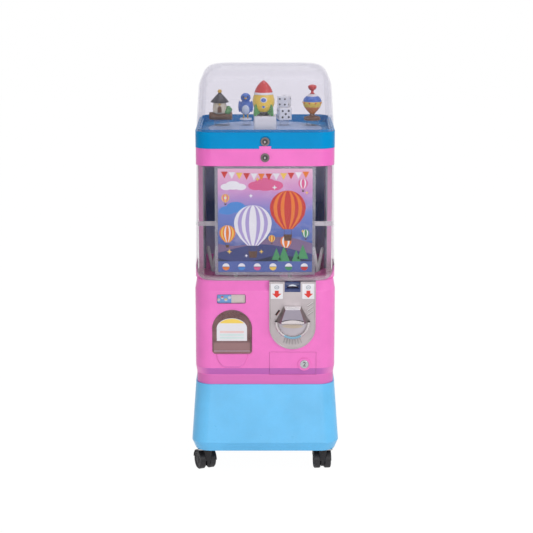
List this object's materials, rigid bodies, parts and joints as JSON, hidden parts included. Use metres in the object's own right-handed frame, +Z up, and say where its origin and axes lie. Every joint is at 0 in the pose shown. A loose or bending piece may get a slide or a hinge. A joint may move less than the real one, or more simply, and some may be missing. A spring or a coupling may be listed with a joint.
{
  "type": "capsule vending machine",
  "caption": "Free-standing capsule vending machine with a clear hopper window, coin plate and turning knob, hinged capsule door, display dome and wheeled stand.",
  "frame": {"origin": "on the floor under the middle of the machine's bounding box", "axes": "+Z up, the front with the knob faces -Y, +X to the right seen from the front"},
  "size_m": [0.393, 0.416, 1.076],
  "materials": {
    "pink_plastic": "gloss moulded",
    "blue_plastic": "gloss moulded",
    "clear_plastic": "clear polished",
    "smoke_plastic": "smoked translucent",
    "navy_plastic": "satin moulded",
    "white_plastic": "satin moulded",
    "grey_plastic": "satin moulded",
    "black_plastic": "satin moulded",
    "satin_metal": "satin die-cast",
    "steel": "zinc plated",
    "brass": "plain",
    "caster_tread": "matt",
    "printed_card": "printed",
    "toy_paint": "painted"
  },
  "bodies": {
    "cabinet": {"stand_shell": "blue_plastic", "stand_floor": "steel", "caster_plates": "steel", "lower_shell": "pink_plastic", "front_panel": "pink_plastic", "price_lens": "clear_plastic", "price_card": "printed_card", "capsule_chute": "grey_plastic", "coin_plate": "satin_metal", "coin_slot_insert": "navy_plastic", "coin_chute": "grey_plastic", "mech_bracket": "steel", "shaft_bushes": "brass", "drawer_guide": "steel", "wheel_floor": "grey_plastic", "wheel_spindle": "steel", "window": "clear_plastic", "window_screws": "black_plastic", "rear_shell": "pink_plastic", "hopper_liner": "navy_plastic", "poster_holder": "clear_plastic", "poster": "printed_card", "poster_standoffs": "clear_plastic", "top_frame": "pink_plastic", "frame_lock_barrel": "steel", "door_pin": "steel"},
    "capsule_rotor": {"capsule_wheel": "grey_plastic", "crown_gear": "white_plastic", "agitator_fingers": "white_plastic"},
    "lay_train": {"lay_shaft": "steel", "lay_gear": "white_plastic", "crown_pinion": "white_plastic"},
    "coin_drive": {"knob": "satin_metal", "knob_shaft": "steel", "coin_disc": "steel", "drive_gear": "white_plastic"},
    "capsule_flap": {"capsule_door": "smoke_plastic"},
    "coin_drawer": {"coin_door": "pink_plastic", "coin_box": "steel"},
    "coin_lock": {"coin_lock_plug": "steel"},
    "display_lid": {"display_tray": "blue_plastic", "stage_disc": "clear_plastic", "lock_housing": "white_plastic", "toy_riser": "clear_plastic", "display_toys": "toy_paint", "display_lock_barrel": "steel"},
    "display_lock": {"display_lock_plug": "brass"},
    "display_dome": {"dome": "clear_plastic"},
    "frame_lock": {"frame_lock_plug": "brass"},
    "caster_front_left": {"caster_hood_front_left": "black_plastic"},
    "wheels_front_left": {"caster_wheels_front_left": "caster_tread"},
    "caster_front_right": {"caster_hood_front_right": "black_plastic"},
    "wheels_front_right": {"caster_wheels_front_right": "caster_tread"},
    "caster_rear_left": {"caster_hood_rear_left": "black_plastic"},
    "wheels_rear_left": {"caster_wheels_rear_left": "caster_tread"},
    "caster_rear_right": {"caster_hood_rear_right": "black_plastic"},
    "wheels_rear_right": {"caster_wheels_rear_right": "caster_tread"}
  },
  "joints": [
    {"name": "wheel_turn", "type": "hinge", "parent": "cabinet", "child": "capsule_rotor", "pos_m": [0, 0.031, 0.454], "axis": [0, 0, 1], "continuous": true},
    {"name": "lay_turn", "type": "hinge", "parent": "cabinet", "child": "lay_train", "pos_m": [0, -0.141, 0.4302], "axis": [0, 1, 0], "continuous": true},
    {"name": "knob_turn", "type": "hinge", "parent": "cabinet", "child": "coin_drive", "pos_m": [0.072, -0.163, 0.426], "axis": [0, 1, 0], "continuous": true},
    {"name": "door_swing", "type": "hinge", "parent": "cabinet", "child": "capsule_flap", "pos_m": [-0.08732, -0.1545, 0.4592], "axis": [1, 0, 0], "range_deg": [0, 50]},
    {"name": "coin_drawer_slide", "type": "slide", "parent": "cabinet", "child": "coin_drawer", "axis": [0, -1, 0], "range_m": [0, 0.15]},
    {"name": "coin_lock_turn", "type": "hinge", "parent": "coin_drawer", "child": "coin_lock", "pos_m": [0.104, -0.163, 0.307], "axis": [0, 1, 0], "range_deg": [0, 90]},
    {"name": "display_lift", "type": "slide", "parent": "cabinet", "child": "display_lid", "axis": [0, 0, 1], "range_m": [0, 0.2]},
    {"name": "display_lock_turn", "type": "hinge", "parent": "display_lid", "child": "display_lock", "pos_m": [0, -0.144, 0.8975], "axis": [0, 1, 0], "range_deg": [0, 90]},
    {"name": "dome_lift", "type": "slide", "parent": "display_lid", "child": "display_dome", "axis": [0, 0, 1], "range_m": [0, 0.2]},
    {"name": "frame_lock_turn", "type": "hinge", "parent": "cabinet", "child": "frame_lock", "pos_m": [0, -0.144, 0.8565], "axis": [0, 1, 0], "range_deg": [0, 90]},
    {"name": "swivel_front_left", "type": "hinge", "parent": "cabinet", "child": "caster_front_left", "pos_m": [-0.1555, -0.128, 0.025], "axis": [0, 0, 1], "continuous": true},
    {"name": "roll_front_left", "type": "hinge", "parent": "caster_front_left", "child": "wheels_front_left", "pos_m": [-0.16331, -0.10959, 0.025], "axis": [0.9205, 0.3907, 0], "continuous": true},
    {"name": "swivel_front_right", "type": "hinge", "parent": "cabinet", "child": "caster_front_right", "pos_m": [0.1555, -0.128, 0.025], "axis": [0, 0, 1], "continuous": true},
    {"name": "roll_front_right", "type": "hinge", "parent": "caster_front_right", "child": "wheels_front_right", "pos_m": [0.1541, -0.10805, 0.025], "axis": [0.9976, 0.0698, 0], "continuous": true},
    {"name": "swivel_rear_left", "type": "hinge", "parent": "cabinet", "child": "caster_rear_left", "pos_m": [-0.1555, 0.15, 0.025], "axis": [0, 0, 1], "continuous": true},
    {"name": "roll_rear_left", "type": "hinge", "parent": "caster_rear_left", "child": "wheels_rear_left", "pos_m": [-0.1449, 0.16696, 0.025], "axis": [0.848, -0.5299, 0], "continuous": true},
    {"name": "swivel_rear_right", "type": "hinge", "parent": "cabinet", "child": "caster_rear_right", "pos_m": [0.1555, 0.15, 0.025], "axis": [0, 0, 1], "continuous": true},
    {"name": "roll_rear_right", "type": "hinge", "parent": "caster_rear_right", "child": "wheels_rear_right", "pos_m": [0.14932, 0.16902, 0.025], "axis": [0.9511, 0.309, 0], "continuous": true}
  ],
  "couplings": [
    {"joint": "lay_turn", "follows": "wheel_turn", "ratio": 9},
    {"joint": "knob_turn", "follows": "wheel_turn", "ratio": -6}
  ]
}
